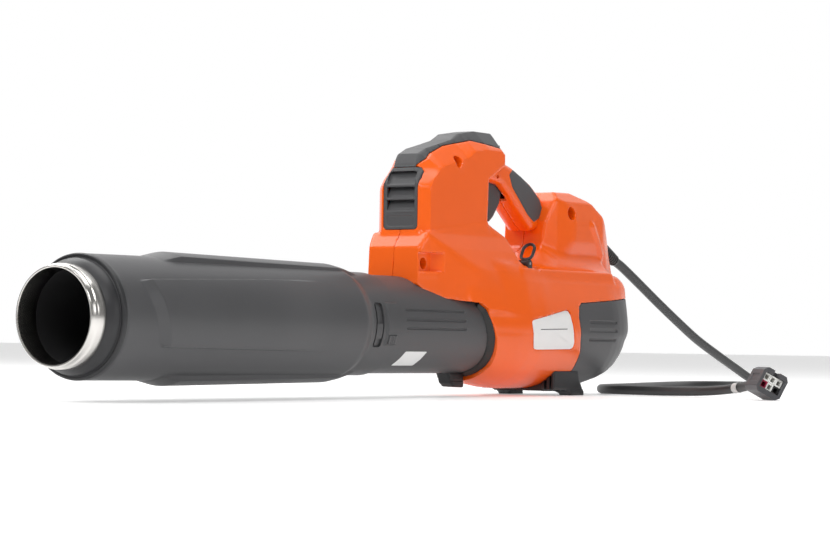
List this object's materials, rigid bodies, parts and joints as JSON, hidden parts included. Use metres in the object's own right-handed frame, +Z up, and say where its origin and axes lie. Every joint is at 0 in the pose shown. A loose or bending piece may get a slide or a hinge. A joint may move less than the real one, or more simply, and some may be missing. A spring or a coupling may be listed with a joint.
{
  "type": "leaf blower",
  "caption": "Cord-fed hand leaf blower: fat silencer tube with a steel nozzle ring, orange fan housing with handle and trigger, stand foot and battery cord with connector.",
  "frame": {"origin": "centre of the machine in plan, on the floor that its feet stand on", "axes": "-X towards the nozzle along the air axis, +X towards the back, +Z up, -Y is the left side"},
  "size_m": [1.4153, 0.3969, 0.291],
  "materials": {
    "polished_steel": "polished spun steel with fine turning marks",
    "black_plastic": "satin moulded black",
    "grey_plastic": "satin moulded dark grey with a fine grain",
    "fan_plastic": "glass-filled moulding",
    "air_tube_plastic": "smooth black tube",
    "foam": "open-cell foam",
    "seal_rubber": "soft black rubber",
    "white_label": "blank printed film",
    "orange_plastic": "glossy moulded orange",
    "grip_rubber": "soft-touch rubber",
    "screw_steel": "zinc-plated steel",
    "button_orange": "satin key",
    "button_grey": "satin key",
    "motor_steel": "laminated and ground steel",
    "circuit_board": "green board",
    "aluminium": "extruded heat sink",
    "lead_insulation": "wire insulation",
    "cord_rubber": "satin rubber sheath",
    "tie_plastic": "pale tie",
    "connector_plastic": "moulded dark housing",
    "contact_white": "white insert",
    "contact_red": "dark red insert",
    "contact_black": "black insert"
  },
  "bodies": {
    "machine": {"duct_housing": "grey_plastic", "duct_seal": "seal_rubber", "duct_keel": "black_plastic", "duct_sticker": "white_label", "left_housing": "orange_plastic", "right_housing": "orange_plastic", "rear_cover": "grey_plastic", "spine_cover": "grey_plastic", "vent_cover": "grey_plastic", "handle_left": "orange_plastic", "handle_right": "orange_plastic", "grip_pad_left": "grip_rubber", "grip_pad_right": "grip_rubber", "trigger_pin": "screw_steel", "trigger_spring": "screw_steel", "trigger_switch": "black_plastic", "control_panel": "black_plastic", "strap_loop_pin": "screw_steel", "strap_bracket": "black_plastic", "label_plate": "white_label", "stand": "black_plastic", "guide_vanes": "fan_plastic", "motor_stator": "motor_steel", "front_bearing": "screw_steel", "rear_bearing": "screw_steel", "tail_cone": "fan_plastic", "intake_bellmouth": "fan_plastic", "fan_damper": "seal_rubber", "controller_board": "circuit_board", "heat_sink": "aluminium", "motor_leads": "lead_insulation", "housing_screws": "screw_steel", "handle_screws": "screw_steel", "stand_screws": "screw_steel", "cord_gland": "cord_rubber", "power_cord": "cord_rubber", "cord_tie": "tie_plastic", "connector_boot": "cord_rubber", "connector_housing": "connector_plastic", "contacts_white": "contact_white", "contact_red": "contact_red", "contact_black": "contact_black"},
    "blower_tube": {"nozzle_ring": "polished_steel", "front_cap": "black_plastic", "silencer_shell": "grey_plastic", "inner_air_tube": "air_tube_plastic", "acoustic_foam": "foam"},
    "latch_button": {"latch_button": "grey_plastic"},
    "rotor": {"motor_rotor": "motor_steel", "fan_impeller": "fan_plastic", "hub_nut": "screw_steel"},
    "trigger": {"trigger": "grey_plastic"},
    "power_button": {"power_button": "button_orange"},
    "boost_button": {"boost_button": "button_grey"},
    "eco_button": {"eco_button": "button_grey"},
    "strap_loop": {"strap_loop": "black_plastic"}
  },
  "joints": [
    {"name": "tube_twist", "type": "hinge", "parent": "machine", "child": "blower_tube", "pos_m": [-0.045, 0, 0.076], "axis": [1, 0, 0], "range_deg": [0, 18]},
    {"name": "latch_press", "type": "slide", "parent": "blower_tube", "child": "latch_button", "axis": [0, 0.9563, 0.2924], "range_m": [0, 0.0012], "stiffness_N_per_m": 300},
    {"name": "fan_spin", "type": "hinge", "parent": "machine", "child": "rotor", "pos_m": [0.105, 0, 0.076], "axis": [1, 0, 0], "continuous": true},
    {"name": "trigger_pull", "type": "hinge", "parent": "machine", "child": "trigger", "pos_m": [0.224, 0, 0.243], "axis": [0, -1, 0], "range_deg": [0, 14], "stiffness_Nm_per_rad": 0.6, "springref_deg": -5.73, "deforming": ["trigger_spring"]},
    {"name": "power_press", "type": "slide", "parent": "machine", "child": "power_button", "axis": [-1, 0, 0], "range_m": [0, 0.0012], "stiffness_N_per_m": 300},
    {"name": "boost_press", "type": "slide", "parent": "machine", "child": "boost_button", "axis": [-1, 0, 0], "range_m": [0, 0.0012], "stiffness_N_per_m": 300},
    {"name": "eco_press", "type": "slide", "parent": "machine", "child": "eco_button", "axis": [-1, 0, 0], "range_m": [0, 0.0012], "stiffness_N_per_m": 300},
    {"name": "strap_loop_fold", "type": "hinge", "parent": "machine", "child": "strap_loop", "pos_m": [0.235, -0.046, 0.1465], "axis": [0, 1, 0], "range_deg": [-62, 40]}
  ]
}
